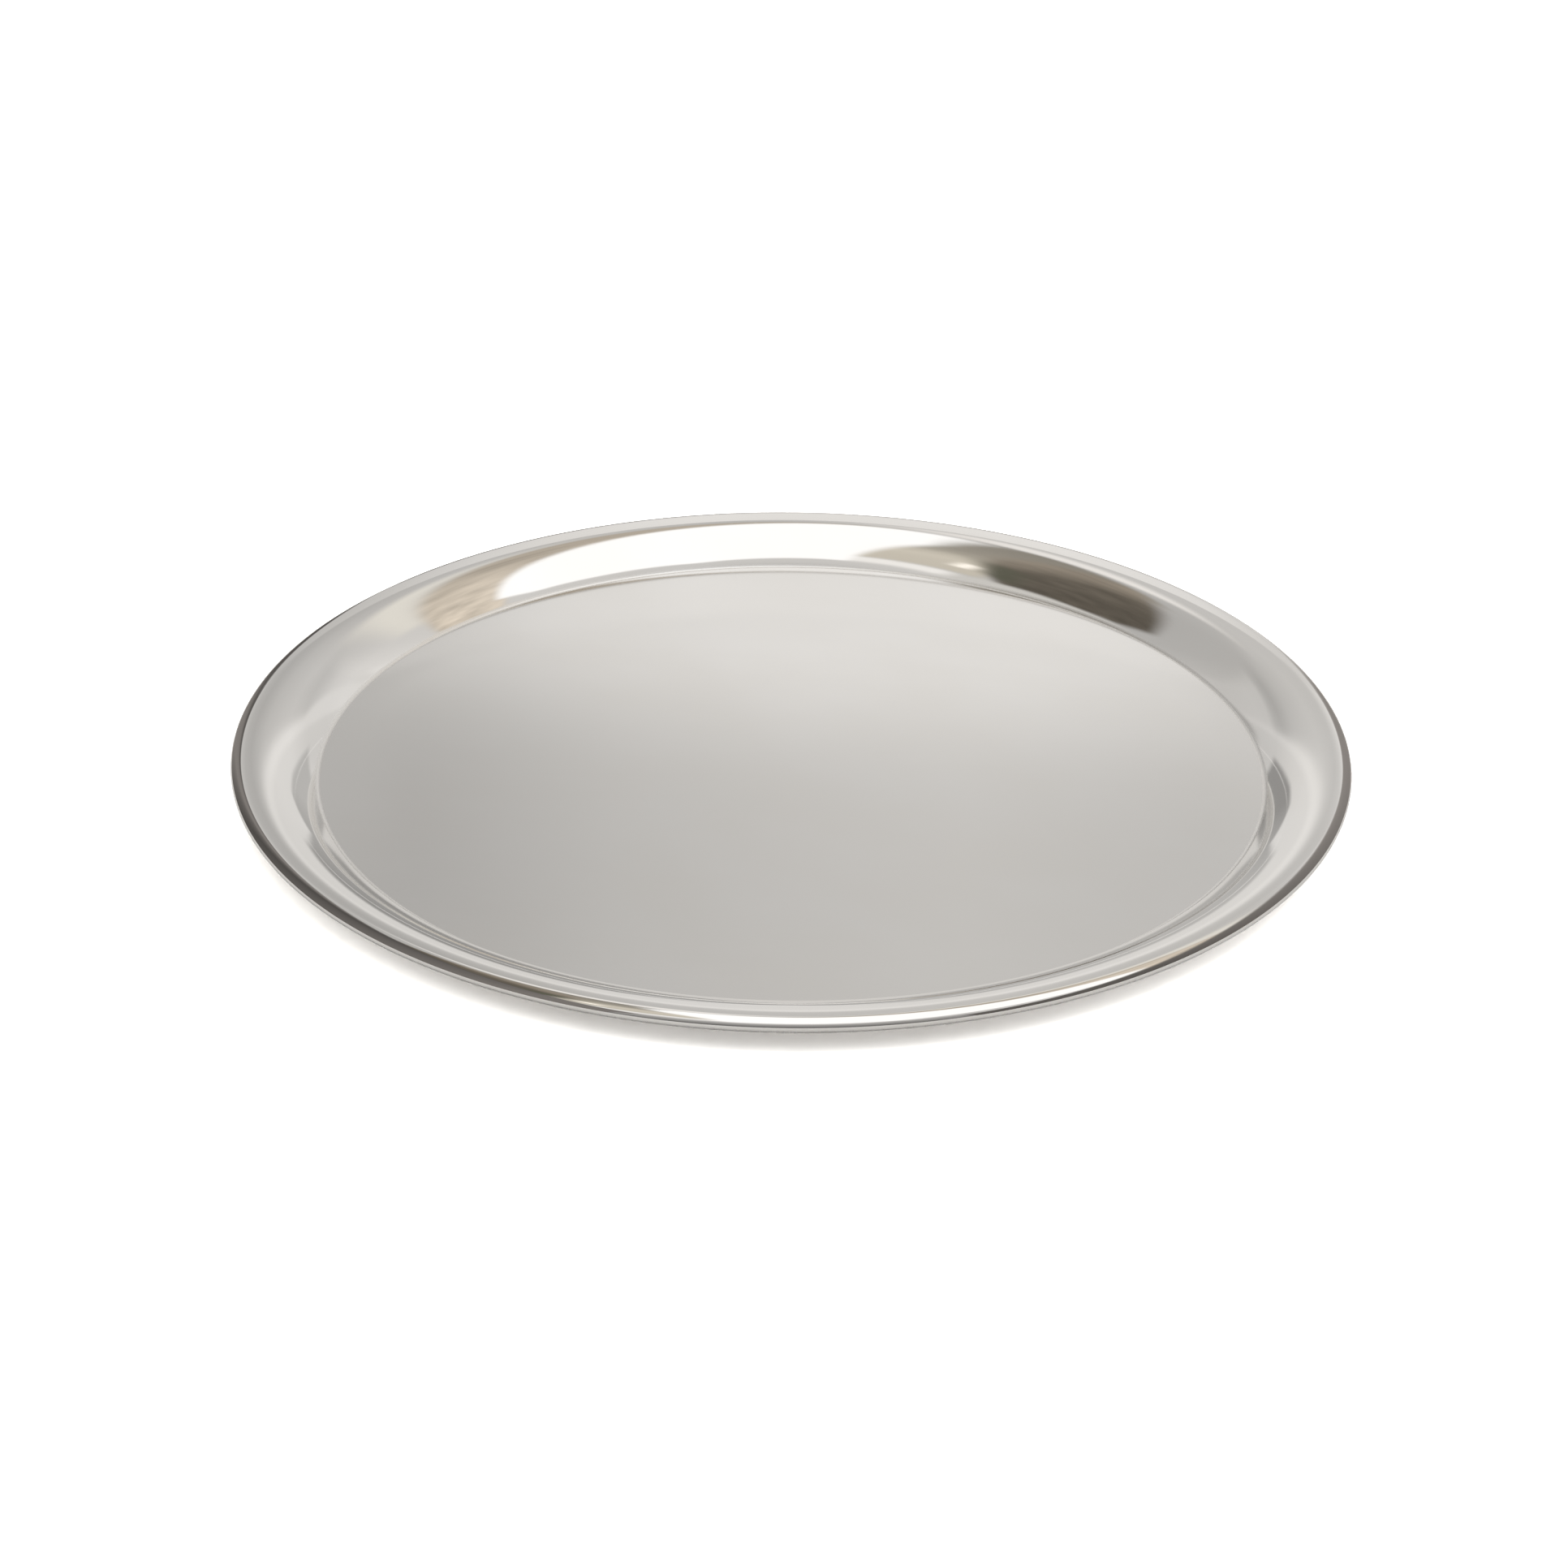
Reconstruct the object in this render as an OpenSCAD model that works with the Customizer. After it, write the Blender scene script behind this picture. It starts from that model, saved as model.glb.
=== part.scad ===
// Round waiter tray: one disc of stainless sheet, pressed to a flat floor with a raised flange.
// Its edge rolls over and is curled outwards and under over a round steel wire.
// The origin is the centre of the floor's underside, with +Z up.

/* [Tray] */
// Diameter over the rolled edge
tray_d = 400; // [250:5:500]
// Height from the underside of the floor to the top of the flange
tray_h = 12.4; // [10:0.1:20]

/* [Sheet] */
// Thickness of the sheet
sheet_t = 0.8; // [0.5:0.1:1.2]
// Inside radius of the bend where the floor turns up into the flange
bend_r = 1.5; // [1:0.5:6]

/* [Flange] */
// Width from the edge of the flat floor to the outside of the rolled edge
flange_w = 30.8; // [20:0.2:45]

/* [Rolled edge] */
// Radius that the level top of the flange rolls over with, before the curl
roll_r = 5; // [4:0.5:8]
// Angle that the sheet rolls over, before the curl, in degrees
roll_turn = 40; // [20:5:60]
// Diameter of the wire inside the rolled edge
wire_d = 2.2; // [1.5:0.1:4]
// Play between the wire and the inside of the curl
wire_play = 0.1; // [0.05:0.05:0.3]
// Angle that the sheet is curled round the wire, in degrees
curl_turn = 265; // [180:5:270]

/* [Hidden] */
$fn = 192;
steel = [0.77, 0.76, 0.74];
wire_steel = [0.62, 0.62, 0.61];

// The arcs of the section follow on from each other without corners.
// Their centres are measured across from the outside of the rolled edge.
curl_out_r = wire_d / 2 + wire_play + sheet_t;
curl_centre = [-curl_out_r, tray_h - roll_r + (roll_r - curl_out_r) * cos(roll_turn)];
roll_centre = [curl_centre.x - (roll_r - curl_out_r) * sin(roll_turn), tray_h - roll_r];
bend_centre = [-flange_w, sheet_t + bend_r];

// The flange is one convex arc that is level at its top.
// Its radius and its slope at the bend follow from the run and the rise between the two.
run = roll_centre.x - bend_centre.x;
rise = tray_h - sheet_t;
flange_r = (run ^ 2 + (rise - bend_r) ^ 2 - bend_r ^ 2) / (2 * rise);
flange_centre = [roll_centre.x, tray_h - flange_r];
wall_slope = atan2(run, bend_r + flange_r - rise);

// The bend and the roll are a hair thinner than the rest of the sheet, as pressing leaves them.
// Their ends lap into the sheet on both sides of them.
thinning = sheet_t / 400;
lap = sheet_t / 16;

// A point at a reach from a centre, at an angle turned outwards from straight up
function spoke(centre, reach, turn) = centre + reach * [sin(turn), cos(turn)];

// A wedge from a centre out past an arc, between two such angles
function wedge(centre, reach, from, to) =
    [centre, for (part = [0:0.25:1]) spoke(centre, reach, from + part * (to - from))];

// The whole ring of sheet that an arc of the section is cut from
module sheet_ring(centre, outer_r, thinned = 0) {
    translate(centre)
        difference() {
            circle(r = outer_r - thinned);
            circle(r = outer_r - sheet_t + thinned);
        }
}

// An arc that pressing has thinned, with both ends lapping into the sheet beside it
module pressed_arc(centre, outer_r, from, to) {
    run_on = lap / outer_r * 180 / PI;
    intersection() {
        sheet_ring(centre, outer_r, thinning);
        polygon(wedge(centre, 3 * outer_r, from - run_on, to + run_on));
    }
}

// Half section of the sheet: floor, bend, flange, roll and curl
module sheet_section() {
    translate([-tray_d / 2, 0])
        square([tray_d / 2 - flange_w, sheet_t]);
    pressed_arc(bend_centre, bend_r + sheet_t, 180 - wall_slope, 180);
    intersection() {
        sheet_ring(flange_centre, flange_r);
        polygon(wedge(flange_centre, 2 * flange_r, -wall_slope, 0));
    }
    pressed_arc(roll_centre, roll_r, 0, roll_turn);
    difference() {
        sheet_ring(curl_centre, curl_out_r);
        polygon(wedge(curl_centre, 3 * curl_out_r, roll_turn + curl_turn - 360, roll_turn));
    }
}

// The pressed sheet, with its edge curled
module tray_pan() {
    color(steel)
        rotate_extrude()
            translate([tray_d / 2, 0])
                sheet_section();
}

// The wire that the edge is curled over
module rim_wire() {
    color(wire_steel)
        rotate_extrude()
            translate([tray_d / 2, 0])
                translate(curl_centre)
                    circle(d = wire_d);
}

tray_pan();
rim_wire();
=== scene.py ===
import math

import bmesh
import bpy
from mathutils import Matrix, Vector


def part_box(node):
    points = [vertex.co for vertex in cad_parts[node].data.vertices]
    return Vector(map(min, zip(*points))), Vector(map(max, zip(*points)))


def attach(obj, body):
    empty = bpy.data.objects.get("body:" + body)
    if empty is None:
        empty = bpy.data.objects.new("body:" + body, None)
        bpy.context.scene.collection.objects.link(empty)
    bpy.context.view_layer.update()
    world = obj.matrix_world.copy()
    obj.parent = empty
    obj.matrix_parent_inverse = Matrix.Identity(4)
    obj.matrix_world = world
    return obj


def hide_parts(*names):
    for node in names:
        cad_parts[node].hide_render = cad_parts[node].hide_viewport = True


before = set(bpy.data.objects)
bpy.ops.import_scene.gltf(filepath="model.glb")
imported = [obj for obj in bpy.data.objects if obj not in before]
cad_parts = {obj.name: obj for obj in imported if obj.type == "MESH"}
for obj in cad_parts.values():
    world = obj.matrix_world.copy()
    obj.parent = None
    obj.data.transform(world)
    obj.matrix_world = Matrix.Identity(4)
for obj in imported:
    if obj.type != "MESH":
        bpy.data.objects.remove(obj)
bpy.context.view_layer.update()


# The pan is one disc of stainless sheet, pressed to a flat floor with a raised flange. Its edge rolls over
# and is curled outwards and under over a wire. The floor keeps a fine satin grain, and the flange and the
# curl are polished.

_, pan_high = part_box("tray_pan")
rim_r = pan_high.x
rim_top = pan_high.z
sheet = 0.0008
bend_r = 0.0015
flange_w = 0.0308
roll_r = 0.005
roll_turn = math.radians(40)
curl_r = 0.002
curl_turn = math.radians(265)
turn_steps = 320
seam_gap = 1e-6
crease = math.radians(40)

# The arcs of the section meet without corners: the bend at the floor, the flange, its roll and the curl.
up = math.pi / 2
roll_up = up - roll_turn
curl_centre = (rim_r - curl_r, rim_top - roll_r + (roll_r - curl_r) * math.cos(roll_turn))
roll_centre = (curl_centre[0] - (roll_r - curl_r) * math.sin(roll_turn), rim_top - roll_r)
bend_centre = (rim_r - flange_w, sheet + bend_r)
run = roll_centre[0] - bend_centre[0]
rise = rim_top - sheet
flange_r = (run ** 2 + (rise - bend_r) ** 2 - bend_r ** 2) / (2 * rise)
wall_slope = math.atan2(run, bend_r + flange_r - rise)
flange_centre = (roll_centre[0], rim_top - flange_r)
floor_r = bend_centre[0]


def arc(centre, radius, start, end, steps):
    """Points of the section on an arc, each as its distance from the axis and its height."""
    angles = [start + (end - start) * i / steps for i in range(steps + 1)]
    return [(centre[0] + radius * math.cos(a), centre[1] + radius * math.sin(a)) for a in angles]


def floor_line(height):
    """Points of the section along the flat floor, from the axis outwards."""
    rings = 12
    return [(floor_r * i / rings, height) for i in range(rings)]


pan_section = floor_line(sheet)
pan_section += arc(bend_centre, bend_r, -up, wall_slope - up, 16)
pan_section += arc(flange_centre, flange_r, up + wall_slope, up, 44)[1:]
pan_section += arc(roll_centre, roll_r, up, roll_up, 16)[1:]
pan_section += arc(curl_centre, curl_r, roll_up, roll_up - curl_turn, 44)[1:]
pan_section += arc(curl_centre, curl_r - sheet, roll_up - curl_turn, roll_up, 44)
pan_section += arc(roll_centre, roll_r - sheet, roll_up, up, 12)[1:]
pan_section += arc(flange_centre, flange_r - sheet, up, up + wall_slope, 44)[1:]
pan_section += arc(bend_centre, bend_r + sheet, wall_slope - up, -up, 16)[1:]
pan_section += floor_line(0.0)[::-1]


def add_node(tree, kind, inputs=None, **settings):
    """A node with its settings, and its inputs set to values or linked from other sockets."""
    made = tree.nodes.new(kind)
    for key, value in settings.items():
        setattr(made, key, value)
    for key, value in (inputs or {}).items():
        if isinstance(value, bpy.types.NodeSocket):
            tree.links.new(value, made.inputs[key])
        else:
            made.inputs[key].default_value = value
    return made


def calc(tree, operation, a, b=0.0, c=0.0):
    """The result of one sum on numbers or sockets."""
    return add_node(tree, "ShaderNodeMath", {0: a, 1: b, 2: c}, operation=operation).outputs[0]


def calc_vector(tree, operation, inputs, output=0):
    """The result of one sum on vectors or sockets."""
    return add_node(tree, "ShaderNodeVectorMath", inputs, operation=operation).outputs[output]


def split(tree, vector):
    """The three parts of a vector."""
    return add_node(tree, "ShaderNodeSeparateXYZ", {0: vector}).outputs


def flattened(tree, vector):
    """A vector with its height left out."""
    x, y, _ = split(tree, vector)
    return add_node(tree, "ShaderNodeCombineXYZ", {"X": x, "Y": y}).outputs[0]


def make_spin_tree():
    """Geometry nodes that spin a section's points round the axis and close the seam and the poles."""
    tree = bpy.data.node_groups.new("Spin a section", "GeometryNodeTree")
    tree.interface.new_socket("Section", in_out="INPUT", socket_type="NodeSocketGeometry")
    tree.interface.new_socket("Steps", in_out="INPUT", socket_type="NodeSocketInt")
    tree.interface.new_socket("Finish", in_out="INPUT", socket_type="NodeSocketMaterial")
    tree.interface.new_socket("Solid", in_out="OUTPUT", socket_type="NodeSocketGeometry")
    given = add_node(tree, "NodeGroupInput")
    section = given.outputs["Section"]
    size = add_node(tree, "GeometryNodeAttributeDomainSize", {0: section}, component="CURVE")
    columns = calc(tree, "ADD", given.outputs["Steps"], 1.0)
    grid = add_node(tree, "GeometryNodeMeshGrid", {"Vertices X": size.outputs["Point Count"],
                                                   "Vertices Y": columns})
    index = add_node(tree, "GeometryNodeInputIndex").outputs[0]
    place = calc(tree, "FLOOR", calc(tree, "DIVIDE", calc(tree, "ADD", index, 0.5), columns))
    step = calc(tree, "SUBTRACT", index, calc(tree, "MULTIPLY", place, columns))
    angle = calc(tree, "DIVIDE", calc(tree, "MULTIPLY", step, math.tau), given.outputs["Steps"])
    position = add_node(tree, "GeometryNodeInputPosition").outputs[0]
    sample = add_node(tree, "GeometryNodeSampleIndex", {"Geometry": section, "Index": place},
                      data_type="FLOAT_VECTOR", domain="POINT")
    tree.links.new(position, sample.inputs["Value"])
    distance, height, _ = split(tree, sample.outputs["Value"])
    around = add_node(tree, "ShaderNodeCombineXYZ", {
        "X": calc(tree, "MULTIPLY", distance, calc(tree, "COSINE", angle)),
        "Y": calc(tree, "MULTIPLY", distance, calc(tree, "SINE", angle)),
        "Z": height})
    placed = add_node(tree, "GeometryNodeSetPosition", {"Geometry": grid.outputs["Mesh"],
                                                        "Position": around.outputs[0]})
    closed = add_node(tree, "GeometryNodeMergeByDistance", {"Geometry": placed.outputs[0],
                                                            "Distance": seam_gap})
    smooth = add_node(tree, "GeometryNodeSetShadeSmooth", {"Geometry": closed.outputs[0]})
    finished = add_node(tree, "GeometryNodeSetMaterial", {"Geometry": smooth.outputs[0],
                                                          "Material": given.outputs["Finish"]})
    real = add_node(tree, "GeometryNodeRealizeInstances", {"Geometry": finished.outputs[0]})
    add_node(tree, "NodeGroupOutput", {0: real.outputs[0]})
    return tree


def spin(name, section, steps, finish):
    """A plain mesh object made by spinning a section round the axis."""
    outline = bpy.data.curves.new(name + "_section", "CURVE")
    outline.dimensions = "2D"
    spline = outline.splines.new("POLY")
    spline.points.add(len(section) - 1)
    for made, (distance, height) in zip(spline.points, section):
        made.co = (distance, height, 0.0, 1.0)
    holder = bpy.data.objects.new(name + "_holder", outline)
    bpy.context.scene.collection.objects.link(holder)
    tree = make_spin_tree()
    modifier = holder.modifiers.new("Spin", "NODES")
    modifier.node_group = tree
    sockets = {s.name: s.identifier for s in tree.interface.items_tree if s.in_out == "INPUT"}
    modifier[sockets["Steps"]] = steps
    modifier[sockets["Finish"]] = finish
    shaped = holder.evaluated_get(bpy.context.evaluated_depsgraph_get())
    mesh = bpy.data.meshes.new_from_object(shaped)
    bpy.data.objects.remove(holder)
    shell = bmesh.new()
    shell.from_mesh(mesh)
    bmesh.ops.remove_doubles(shell, verts=shell.verts, dist=seam_gap)
    bmesh.ops.recalc_face_normals(shell, faces=shell.faces)
    shell.to_mesh(mesh)
    shell.free()
    mesh.set_sharp_from_angle(angle=crease)
    piece = bpy.data.objects.new(name, mesh)
    bpy.context.scene.collection.objects.link(piece)
    return piece


def make_grain_tree():
    """Shader nodes for grain that is drawn out along one way, as a value from -0.5 to 0.5."""
    tree = bpy.data.node_groups.new("Drawn grain", "ShaderNodeTree")
    tree.interface.new_socket("Place", in_out="INPUT", socket_type="NodeSocketVector")
    tree.interface.new_socket("Turn", in_out="INPUT", socket_type="NodeSocketFloat")
    tree.interface.new_socket("Cell", in_out="INPUT", socket_type="NodeSocketVector")
    tree.interface.new_socket("Grain", in_out="OUTPUT", socket_type="NodeSocketFloat")
    given = add_node(tree, "NodeGroupInput")
    turned = add_node(tree, "ShaderNodeVectorRotate", {
        "Vector": given.outputs["Place"], "Angle": given.outputs["Turn"]}, rotation_type="Z_AXIS")
    drawn = calc_vector(tree, "DIVIDE", {0: turned.outputs[0], 1: given.outputs["Cell"]})
    noise = add_node(tree, "ShaderNodeTexNoise", {"Vector": drawn, "Scale": 1.0, "Detail": 2.0})
    add_node(tree, "NodeGroupOutput", {"Grain": calc(tree, "SUBTRACT", noise.outputs[0], 0.5)})
    return tree


def make_scratch_tree(grain_tree):
    """Shader nodes for sparse hairline scratches that run three ways, as a mask."""
    tree = bpy.data.node_groups.new("Hairline scratches", "ShaderNodeTree")
    tree.interface.new_socket("Place", in_out="INPUT", socket_type="NodeSocketVector")
    tree.interface.new_socket("Cell", in_out="INPUT", socket_type="NodeSocketVector")
    tree.interface.new_socket("Rarity", in_out="INPUT", socket_type="NodeSocketFloat")
    tree.interface.new_socket("Scratch", in_out="OUTPUT", socket_type="NodeSocketFloat")
    given = add_node(tree, "NodeGroupInput")
    rarity = given.outputs["Rarity"]
    full = calc(tree, "ADD", rarity, 0.04)
    scratch = 0.0
    for turn in (0.3, 1.2, 2.5):
        grain = add_node(tree, "ShaderNodeGroup", node_tree=grain_tree)
        tree.links.new(given.outputs["Place"], grain.inputs["Place"])
        tree.links.new(given.outputs["Cell"], grain.inputs["Cell"])
        grain.inputs["Turn"].default_value = turn
        line = add_node(tree, "ShaderNodeMapRange", {"Value": grain.outputs["Grain"], "From Min": rarity,
                                                     "From Max": full}, interpolation_type="SMOOTHSTEP")
        scratch = calc(tree, "MAXIMUM", scratch, line.outputs[0])
    add_node(tree, "NodeGroupOutput", {"Scratch": scratch})
    return tree


def grouped(tree, group_tree, output, **inputs):
    """The output of a node group with its inputs set to values or linked from other sockets."""
    made = add_node(tree, "ShaderNodeGroup", node_tree=group_tree)
    for key, value in inputs.items():
        if isinstance(value, bpy.types.NodeSocket):
            tree.links.new(value, made.inputs[key])
        else:
            made.inputs[key].default_value = value
    return made.outputs[output]


def mask_between(tree, value, start, end):
    """A soft mask that is 0 where a value is at the start and 1 at the end."""
    return add_node(tree, "ShaderNodeMapRange", {"Value": value, "From Min": start, "From Max": end},
                    interpolation_type="SMOOTHSTEP").outputs[0]


def blend(tree, mask, a, b):
    """One of two numbers or sockets where the mask is 0, and the other where it is 1."""
    return add_node(tree, "ShaderNodeMix", {"Factor": mask, "A": a, "B": b}).outputs["Result"]


grain_tree = make_grain_tree()
scratch_tree = make_scratch_tree(grain_tree)
pan_finish = bpy.data.materials.new("pan_steel")
pan_finish.use_nodes = True
pan_tree = pan_finish.node_tree
pan_shader = pan_tree.nodes["Principled BSDF"]
pan_shader.inputs["Metallic"].default_value = 1.0
place = add_node(pan_tree, "ShaderNodeTexCoord").outputs["Object"]
across = flattened(pan_tree, place)
axis_r = calc_vector(pan_tree, "LENGTH", {0: across}, "Value")
outwards = calc_vector(pan_tree, "NORMALIZE", {0: across})
ring_side = calc_vector(pan_tree, "SCALE", {0: outwards, "Scale": rim_r})
ring_depth = add_node(pan_tree, "ShaderNodeCombineXYZ", {"Z": axis_r}).outputs[0]
ring_place = calc_vector(pan_tree, "ADD", {0: ring_side, 1: ring_depth})
_, _, surface_up = split(pan_tree, add_node(pan_tree, "ShaderNodeNewGeometry").outputs["Normal"])

satin_end = (floor_r - 0.0004, floor_r + 0.0008)
bend_start = (floor_r - 0.0004, floor_r + 0.0001)
bend_end = (floor_r + 0.0011, floor_r + 0.0018)
on_floor = mask_between(pan_tree, axis_r, satin_end[1], satin_end[0])
in_bend = calc(pan_tree, "MULTIPLY", mask_between(pan_tree, axis_r, bend_start[0], bend_start[1]),
               mask_between(pan_tree, axis_r, bend_end[1], bend_end[0]))
below = mask_between(pan_tree, surface_up, 0.0, -0.3)
floor_grain = grouped(pan_tree, grain_tree, "Grain", Place=place, Turn=0.02, Cell=(0.05, 0.0005, 0.0005))
polish_rings = grouped(pan_tree, grain_tree, "Grain", Place=ring_place, Cell=(0.12, 0.12, 0.0004))
haze = grouped(pan_tree, grain_tree, "Grain", Place=place, Turn=0.6, Cell=(0.07, 0.05, 0.05))
hairlines = grouped(pan_tree, scratch_tree, "Scratch", Place=place, Cell=(0.03, 0.0004, 0.0004), Rarity=0.2)
scuffs = grouped(pan_tree, scratch_tree, "Scratch", Place=place, Cell=(0.05, 0.0012, 0.0012), Rarity=0.1)

satin_rough = 0.1
polish_rough = 0.05
bend_rough = 0.3
worn_rough = 0.2
satin = calc(pan_tree, "MULTIPLY_ADD", haze, 0.04, satin_rough)
satin = calc(pan_tree, "MULTIPLY_ADD", floor_grain, 0.05, satin)
polish = calc(pan_tree, "MULTIPLY_ADD", haze, 0.02, polish_rough)
polish = calc(pan_tree, "MULTIPLY_ADD", polish_rings, 0.03, polish)
finished = blend(pan_tree, on_floor, polish, satin)
finished = calc(pan_tree, "MULTIPLY_ADD", in_bend, bend_rough, finished)
roughness = calc(pan_tree, "MULTIPLY_ADD", hairlines, 0.06, finished)
worn = calc(pan_tree, "MULTIPLY_ADD", scuffs, 0.12, worn_rough)
pan_tree.links.new(blend(pan_tree, below, roughness, worn), pan_shader.inputs["Roughness"])
relief = calc(pan_tree, "SUBTRACT", blend(pan_tree, on_floor, polish_rings, floor_grain), hairlines)
bump = add_node(pan_tree, "ShaderNodeBump", {"Height": relief, "Strength": 1.0, "Distance": 2e-7})
pan_tree.links.new(bump.outputs[0], pan_shader.inputs["Normal"])
tone = add_node(pan_tree, "ShaderNodeMix", {"Factor": mask_between(pan_tree, haze, -0.25, 0.25),
                "A": (0.745, 0.733, 0.715, 1.0), "B": (0.73, 0.715, 0.692, 1.0)}, data_type="RGBA")
pan_tree.links.new(tone.outputs["Result"], pan_shader.inputs["Base Color"])

pan = spin("pan", pan_section, turn_steps, pan_finish)
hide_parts("tray_pan")
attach(pan, "root")


# The wire is drawn round steel that the edge of the pan is curled over. It shows only through the slit of
# the curl, from below, and keeps the dull skin and the lengthwise lines of the drawing die.

wire_finish = bpy.data.materials.new("wire_steel")
wire_finish.use_nodes = True
wire_tree = wire_finish.node_tree
wire_shader = wire_tree.nodes["Principled BSDF"]
wire_shader.inputs["Metallic"].default_value = 1.0
wire_place = add_node(wire_tree, "ShaderNodeTexCoord").outputs["Object"]
_, _, wire_z = split(wire_tree, wire_place)
wire_r = calc_vector(wire_tree, "LENGTH", {0: flattened(wire_tree, wire_place)}, "Value")
die_place = add_node(wire_tree, "ShaderNodeCombineXYZ", {"X": wire_r, "Z": wire_z}).outputs[0]
die_lines = grouped(wire_tree, grain_tree, "Grain", Place=die_place, Cell=(0.0002, 0.0002, 0.0002))
skin = grouped(wire_tree, grain_tree, "Grain", Place=wire_place, Cell=(0.02, 0.02, 0.02))
wire_rough = 0.34
dulled = calc(wire_tree, "MULTIPLY_ADD", skin, 0.1, wire_rough)
dulled = calc(wire_tree, "MULTIPLY_ADD", die_lines, 0.15, dulled)
wire_tree.links.new(dulled, wire_shader.inputs["Roughness"])
wire_tone = add_node(wire_tree, "ShaderNodeMix", {"Factor": mask_between(wire_tree, skin, -0.2, 0.2),
                     "A": (0.62, 0.62, 0.61, 1.0), "B": (0.52, 0.515, 0.5, 1.0)}, data_type="RGBA")
wire_tree.links.new(wire_tone.outputs["Result"], wire_shader.inputs["Base Color"])
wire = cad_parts["rim_wire"]
wire.data.materials.clear()
wire.data.materials.append(wire_finish)


# The table is a plain white surface that the tray lies on. It keeps the tray's soft shadow. A camera that
# looks up from below sees through it, and it is open under the floor of the pan, where the tray hides it.

table_r = 4.0
table_steps = 128
open_r = floor_r - 0.002
table_drop = 0.00005
table_turns = [math.tau * step / table_steps for step in range(table_steps)]
table_corners = [(r * math.cos(turn), r * math.sin(turn), 0.0)
                 for r in (open_r, table_r) for turn in table_turns]
table_faces = [(i, table_steps + i, table_steps + (i + 1) % table_steps, (i + 1) % table_steps)
               for i in range(table_steps)]
table_mesh = bpy.data.meshes.new("table")
table_mesh.from_pydata(table_corners, [], table_faces)
table = bpy.data.objects.new("table", table_mesh)
table.location.z = -table_drop
bpy.context.scene.collection.objects.link(table)
white = bpy.data.materials.new("white_table")
white.use_nodes = True
white_tree = white.node_tree
white_tree.nodes.clear()
bounce_level = 0.25
camera_gain = 3.3
mirror_gain = 0.8
ray = add_node(white_tree, "ShaderNodeLightPath")
seen_level = calc(white_tree, "MULTIPLY_ADD", ray.outputs["Is Camera Ray"], camera_gain, bounce_level)
level = calc(white_tree, "MULTIPLY_ADD", ray.outputs["Is Glossy Ray"], mirror_gain, seen_level)
diffuse = add_node(white_tree, "ShaderNodeBsdfDiffuse", {"Color": level})
from_below = calc(white_tree, "MULTIPLY", ray.outputs["Is Camera Ray"],
                  add_node(white_tree, "ShaderNodeNewGeometry").outputs["Backfacing"])
table_shown = add_node(white_tree, "ShaderNodeMixShader", {
    0: from_below, 1: diffuse.outputs[0], 2: add_node(white_tree, "ShaderNodeBsdfTransparent").outputs[0]})
add_node(white_tree, "ShaderNodeOutputMaterial", {"Surface": table_shown.outputs[0]})
table.data.materials.append(white)


# A pale backdrop stands a metre behind the tray, a low white strip close behind its rim and two dark cards
# beside it. The picture doesn't reach them: only the polished steel sees them. The cards draw the dark line
# round the rim.


def graded(tree, value, stops):
    """A number that follows a value through a few stops, each a place and the number there."""
    first, last = stops[0][0], stops[-1][0]
    share = add_node(tree, "ShaderNodeMapRange", {"Value": value, "From Min": first, "From Max": last})
    made = add_node(tree, "ShaderNodeValToRGB", {"Fac": share.outputs[0]})
    elements = made.color_ramp.elements
    while len(elements) < len(stops):
        elements.new(0.5)
    for element, (stop, number) in zip(elements, stops):
        element.position = (stop - first) / (last - first)
        element.color = (number, number, number, 1.0)
    return made.outputs["Color"]


def mirrored_sheet(name, foot, top):
    """The shader tree and the own places of a sheet between two lines of points that only the steel sees."""
    mesh = bpy.data.meshes.new(name)
    count = len(foot)
    mesh.from_pydata(foot + top, [], [(i, i + 1, count + i + 1, count + i) for i in range(count - 1)])
    sheet_object = bpy.data.objects.new(name, mesh)
    bpy.context.scene.collection.objects.link(sheet_object)
    sheet_object.visible_camera = False
    sheet_object.visible_diffuse = False
    sheet_object.visible_shadow = False
    paint = bpy.data.materials.new(name)
    paint.use_nodes = True
    paint.node_tree.nodes.clear()
    mesh.materials.append(paint)
    coordinate = add_node(paint.node_tree, "ShaderNodeTexCoord").outputs["Object"]
    return paint.node_tree, split(paint.node_tree, coordinate)


def shine(tree, colour, shown):
    """Makes a sheet glow in a colour, as far as it is shown."""
    glow = add_node(tree, "ShaderNodeEmission", {"Color": colour, "Strength": 1.0})
    clear = add_node(tree, "ShaderNodeBsdfTransparent")
    mixed = add_node(tree, "ShaderNodeMixShader", {0: shown, 1: clear.outputs[0], 2: glow.outputs[0]})
    add_node(tree, "ShaderNodeOutputMaterial", {"Surface": mixed.outputs[0]})


def tinted(tree, level, tint=(1.0, 0.985, 0.965)):
    """A level of light in a tint, which is a slightly warm white if none is given."""
    return calc_vector(tree, "MULTIPLY", {0: level, 1: tint})


def dark_card(name, across, far_end, tops, levels):
    """A dark card along the side of the tray, whose far end and top fade out."""
    near_end = -0.5
    full = 0.6
    end_fade = 0.25
    top_fade = 0.08
    tree, (_, along, height) = mirrored_sheet(name, [(across, near_end, 0.0), (across, far_end, 0.0)],
                                              [(across, near_end, full), (across, far_end, full)])
    over = calc(tree, "SUBTRACT", height, graded(tree, along, tops))
    shown = calc(tree, "MULTIPLY", mask_between(tree, along, far_end, far_end - end_fade),
                 mask_between(tree, over, 0.0, -top_fade))
    shine(tree, tinted(tree, graded(tree, along, levels), (1.0, 0.93, 0.88)), shown)


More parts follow.
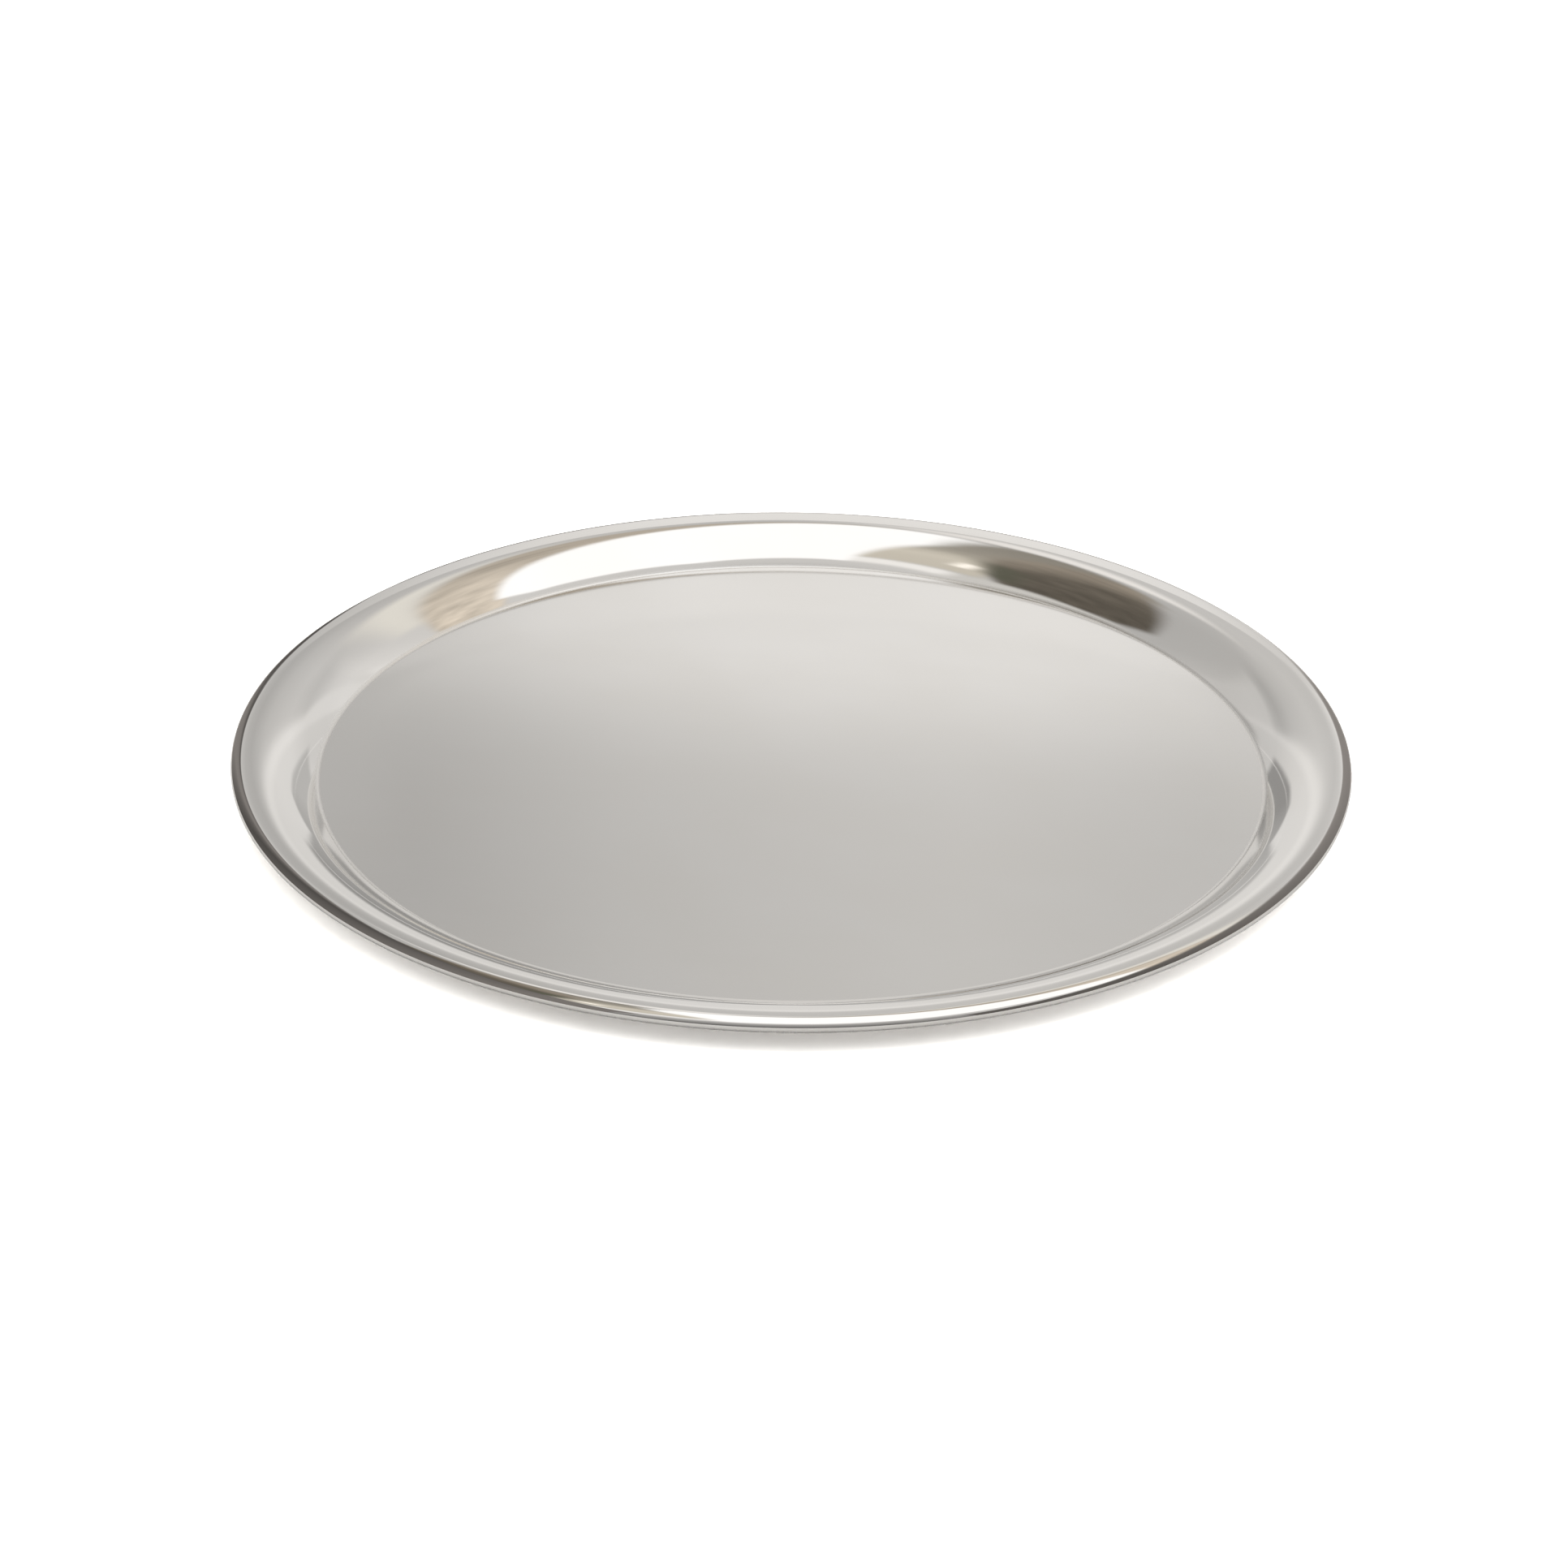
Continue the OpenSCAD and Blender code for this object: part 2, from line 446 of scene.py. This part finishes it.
dark_card("left_card", -0.262, 0.7, [(-0.4, 0.5), (0.0, 0.32), (0.12, 0.3), (0.3, 0.24)],
          [(-0.3, 0.25), (-0.2, 0.2), (-0.12, 0.17), (-0.05, 0.13), (0.0, 0.1), (0.05, 0.17), (0.1, 0.28),
           (0.17, 0.26), (0.25, 0.13), (0.4, 0.1)])
dark_card("right_card", 0.275, 0.5, [(-0.4, 0.3), (0.0, 0.22), (0.3, 0.22)],
          [(-0.2, 0.14), (-0.05, 0.22), (0.1, 0.3), (0.15, 0.32)])


def ring_line(radius, height):
    """Points behind the tray, on a circle round its axis."""
    turns = [math.radians(90 + 5 * step) for step in range(-12, 13)]
    return [(radius * math.cos(turn), radius * math.sin(turn), height) for turn in turns]


strip_tree, (strip_x, _, _) = mirrored_sheet("white_strip", ring_line(rim_r + 0.105, 0.065),
                                             ring_line(rim_r + 0.032, 0.05))
strip_level = graded(strip_tree, strip_x, [(-0.2, 0.62), (-0.16, 0.74), (-0.1, 0.93), (-0.04, 1.0),
                                           (0.04, 1.0), (0.11, 1.02), (0.16, 0.95), (0.19, 0.82),
                                           (0.22, 0.73)])
strip_shown = mask_between(strip_tree, calc(strip_tree, "ABSOLUTE", strip_x), 0.23, 0.18)
shine(strip_tree, tinted(strip_tree, strip_level), strip_shown)

wall_y = 1.0
wall_half = 1.4
wall_top = 0.85
wall_fade = 0.15
wall_foot = [(-wall_half, wall_y, 0.0), (wall_half, wall_y, 0.0)]
wall_head = [(-wall_half, wall_y, wall_top), (wall_half, wall_y, wall_top)]
wall_tree, (wall_x, _, wall_z) = mirrored_sheet("backdrop", wall_foot, wall_head)
lit_top = graded(wall_tree, wall_x, [(-0.7, 0.45), (-0.3, 0.44), (-0.2, 0.45), (-0.1, 0.468), (0.0, 0.478),
                                     (0.2, 0.483), (0.27, 0.485), (0.35, 0.54), (0.5, 0.6), (0.7, 0.64)])
over_lit = calc(wall_tree, "SUBTRACT", wall_z, lit_top)
lit = graded(wall_tree, over_lit, [(-0.05, 1.0), (-0.02, 0.92), (0.005, 0.6), (0.03, 0.26), (0.06, 0.09),
                                   (0.14, 0.01), (0.2, 0.0)])
lit_level = graded(wall_tree, wall_x, [(-0.7, 0.75), (-0.31, 0.83), (-0.14, 0.94), (0.0, 1.0), (0.15, 1.0),
                                       (0.31, 0.9), (0.5, 0.9), (0.7, 0.93)])
dim_level = graded(wall_tree, wall_x, [(-0.9, 0.7), (-0.5, 0.72), (-0.37, 0.71), (-0.3, 0.57),
                                       (-0.24, 0.53), (-0.19, 0.57), (-0.11, 0.64), (-0.03, 0.675),
                                       (0.04, 0.7), (0.11, 0.72), (0.2, 0.69), (0.27, 0.665),
                                       (0.35, 0.7), (0.5, 0.81), (0.7, 0.88)])
low_lit = graded(wall_tree, wall_z, [(0.2, 0.88), (0.38, 0.91), (0.43, 1.0)])
wall_level = blend(wall_tree, lit, dim_level, calc(wall_tree, "MULTIPLY", lit_level, low_lit))

# The backdrop is darker grey over a low band, with a slanted right end and a dip in the middle of its top.
from_middle = calc(wall_tree, "ABSOLUTE", wall_x)
low_top = graded(wall_tree, from_middle, [(0.0, 0.08), (0.03, 0.15), (0.06, 0.22), (0.12, 0.25)])
low_right = calc(wall_tree, "MULTIPLY_ADD", wall_z, 0.45, 0.2)
under_top = mask_between(wall_tree, calc(wall_tree, "SUBTRACT", wall_z, low_top), 0.03, -0.03)
past_left = mask_between(wall_tree, wall_x, -0.34, -0.29)
short_of_right = mask_between(wall_tree, calc(wall_tree, "SUBTRACT", wall_x, low_right), 0.025, -0.025)
low_band = calc(wall_tree, "MULTIPLY", under_top, calc(wall_tree, "MULTIPLY", past_left, short_of_right))
low_level = graded(wall_tree, wall_x, [(-0.1, 0.37), (0.1, 0.6)])
wall_level = blend(wall_tree, low_band, wall_level, low_level)
wall_shown = mask_between(wall_tree, wall_z, wall_top, wall_top - wall_fade)
shine(wall_tree, tinted(wall_tree, wall_level), wall_shown)


# The studio round the tray, as the polished steel mirrors it: a large white light overhead, pale walls and a
# dark room on the left. Its places are on a chart, in degrees right and far of the point straight up.

studio = bpy.data.worlds.new("studio")
bpy.context.scene.world = studio
studio.use_nodes = True
sky = studio.node_tree
sky.nodes.clear()
facing = add_node(sky, "ShaderNodeTexCoord").outputs["Generated"]
unit = calc_vector(sky, "NORMALIZE", {0: facing})
_, _, facing_up = split(sky, unit)
from_zenith = calc(sky, "MULTIPLY", calc(sky, "ARCCOSINE", facing_up), 180 / math.pi)
heading = calc_vector(sky, "NORMALIZE", {0: flattened(sky, unit)})
chart = calc_vector(sky, "SCALE", {0: heading, "Scale": from_zenith})
chart_x, chart_y, _ = split(sky, chart)
elevation = calc(sky, "SUBTRACT", 90.0, from_zenith)


def side_of(start, end, softness):
    """A mask of the chart left of the line from one point to another."""
    along = Vector((end[0] - start[0], end[1] - start[1])).normalized()
    left = (-along.y, along.x, 0.0)
    offset = left[0] * start[0] + left[1] * start[1]
    reach = calc_vector(sky, "DOT_PRODUCT", {0: chart, 1: left}, "Value")
    return mask_between(sky, reach, offset - softness / 2, offset + softness / 2)


def lay(under, mask, colour):
    """A colour laid over what is under it, where the mask is 1."""
    mixed = add_node(sky, "ShaderNodeMix", {"Factor": mask, "A": under, "B": colour}, data_type="RGBA")
    return mixed.outputs["Result"]


def panel(under, corners, softness, colour):
    """A panel with its corners in turn anticlockwise on the chart, laid over what is under it."""
    mask = None
    for start, end in zip(corners, corners[1:] + corners[:1]):
        side = side_of(start, end, softness)
        mask = side if mask is None else calc(sky, "MULTIPLY", mask, side)
    return lay(under, mask, colour)


clutter = add_node(sky, "ShaderNodeTexNoise", {"Vector": chart, "Scale": 0.16, "Detail": 2.0}).outputs[0]
unevenness = calc(sky, "MULTIPLY_ADD", clutter, 0.9, 0.55)
walls = graded(sky, elevation, [(0, 0.9), (20, 0.9), (30, 0.68), (38, 0.62), (50, 0.6), (60, 0.66),
                                (75, 0.72)])
tilt = graded(sky, chart_x, [(-45, 0.95), (-20, 0.95), (0, 1.05), (20, 1.14), (40, 1.35)])
sky_colour = tinted(sky, calc(sky, "MULTIPLY", walls, tilt))
near_left = side_of((-26, -10), (-46, 8), 6.0)
sky_colour = lay(sky_colour, near_left, (0.78, 0.765, 0.735, 1.0))
camera_level = graded(sky, chart_y, [(-90, 0.18), (-70, 0.22), (-60, 0.36), (-40, 0.44), (-30, 0.62),
                                     (-24, 0.76), (-18, 0.8)])
camera_side = mask_between(sky, chart_y, -17.0, -21.0)
sky_colour = lay(sky_colour, camera_side, tinted(sky, camera_level))
near_light = [(-6, -10), (-24, -11), (-24, -18), (-6, -18)]
sky_colour = panel(sky_colour, near_light, 5.0, (1.15, 1.13, 1.1, 1.0))
brown_strip = [(-5, 41), (-15, 40), (-27, -10), (-7, -10)]
brown_level = graded(sky, chart_y, [(-10, 0.74), (0, 0.76), (6, 0.8), (11, 0.7), (15, 0.52), (20, 0.43),
                                    (30, 0.37), (41, 0.33)])
sky_colour = panel(sky_colour, brown_strip, 4.0, tinted(sky, brown_level, (1.0, 0.93, 0.8)))
dark_room = [(-11, 41), (-43, 21), (-46, 10), (-42, 1), (-30, -9), (-23, 0), (-15, 15), (-11, 30)]
dark_level = graded(sky, chart_x, [(-44, 0.14), (-30, 0.15), (-21, 0.18), (-18, 0.27), (-14, 0.36),
                                   (-10, 0.38)])
dark_level = calc(sky, "MULTIPLY", dark_level, unevenness)
sky_colour = panel(sky_colour, dark_room, 4.0, tinted(sky, dark_level, (1.0, 0.87, 0.71)))
dark_corner = [(-16, 13), (-22, 11), (-31, -5), (-25, -4)]
sky_colour = panel(sky_colour, dark_corner, 6.0, (0.14, 0.14, 0.105, 1.0))
small_lamp = [(-18, 4), (-20.5, 3), (-21.5, -3), (-19, -3)]
sky_colour = panel(sky_colour, small_lamp, 3.0, (1.5, 1.42, 1.3, 1.0))
far_light = [(0, 58), (-10, 56), (-9, 43), (-4, 40), (-1, 44)]
sky_colour = panel(sky_colour, far_light, 4.0, (1.08, 1.05, 1.02, 1.0))
pale_board = [(3, 55), (1, 48), (9, 42), (36, 25), (38, 31), (20, 45)]
sky_colour = panel(sky_colour, pale_board, 8.0, (0.98, 0.95, 0.88, 1.0))
tan_board = [(5, 46), (-2, 41), (37, 6), (46, 0), (54, 8), (50, 17)]
tan_level = graded(sky, chart_x, [(0, 0.56), (10, 0.62), (20, 0.76), (30, 0.84), (45, 0.88)])
tan_level = calc(sky, "MULTIPLY", unevenness, tan_level)
sky_colour = panel(sky_colour, tan_board, 3.0, tinted(sky, tan_level, (1.0, 0.89, 0.75)))
overhead = [(-1, 41), (-5, 38.5), (-9, 20), (-8, -18), (15, -18), (29, -9.5), (37, -1), (38, 8)]
sky_colour = panel(sky_colour, overhead, 2.5, (1.4, 1.4, 1.4, 1.0))
sky_ray = add_node(sky, "ShaderNodeLightPath")
seen_colour = lay(sky_colour, sky_ray.outputs["Is Camera Ray"], (1.0, 1.0, 1.0, 1.0))
light = add_node(sky, "ShaderNodeBackground", {"Color": seen_colour, "Strength": 1.0})
add_node(sky, "ShaderNodeOutputWorld", {"Surface": light.outputs[0]})
bpy.context.scene.view_settings.view_transform = "Standard"


# The camera stands a little over an arm's length in front of the tray and looks down on it.

frame_px = 1932
rim_px = (975.4, 914.3)
camera_distance = 1.5
camera_elevation = math.radians(27.09)
camera_roll = math.radians(0.65)
px_per_metre = 3431.0
sensor = 36.0
camera = bpy.data.objects.new("camera", bpy.data.cameras.new("camera"))
bpy.context.scene.collection.objects.link(camera)
camera.data.sensor_width = sensor
camera.data.lens = sensor * px_per_metre * camera_distance / frame_px
camera.data.shift_x = (frame_px / 2 - rim_px[0]) / frame_px
camera.data.shift_y = (rim_px[1] - frame_px / 2) / frame_px
back = Vector((0.0, -math.cos(camera_elevation), math.sin(camera_elevation)))
stand = Matrix.Translation(Vector((0.0, 0.0, curl_centre[1])) + camera_distance * back)
tipped = Matrix.Rotation(up - camera_elevation, 4, "X")
camera.matrix_world = stand @ tipped @ Matrix.Rotation(camera_roll, 4, "Z")
bpy.context.scene.camera = camera
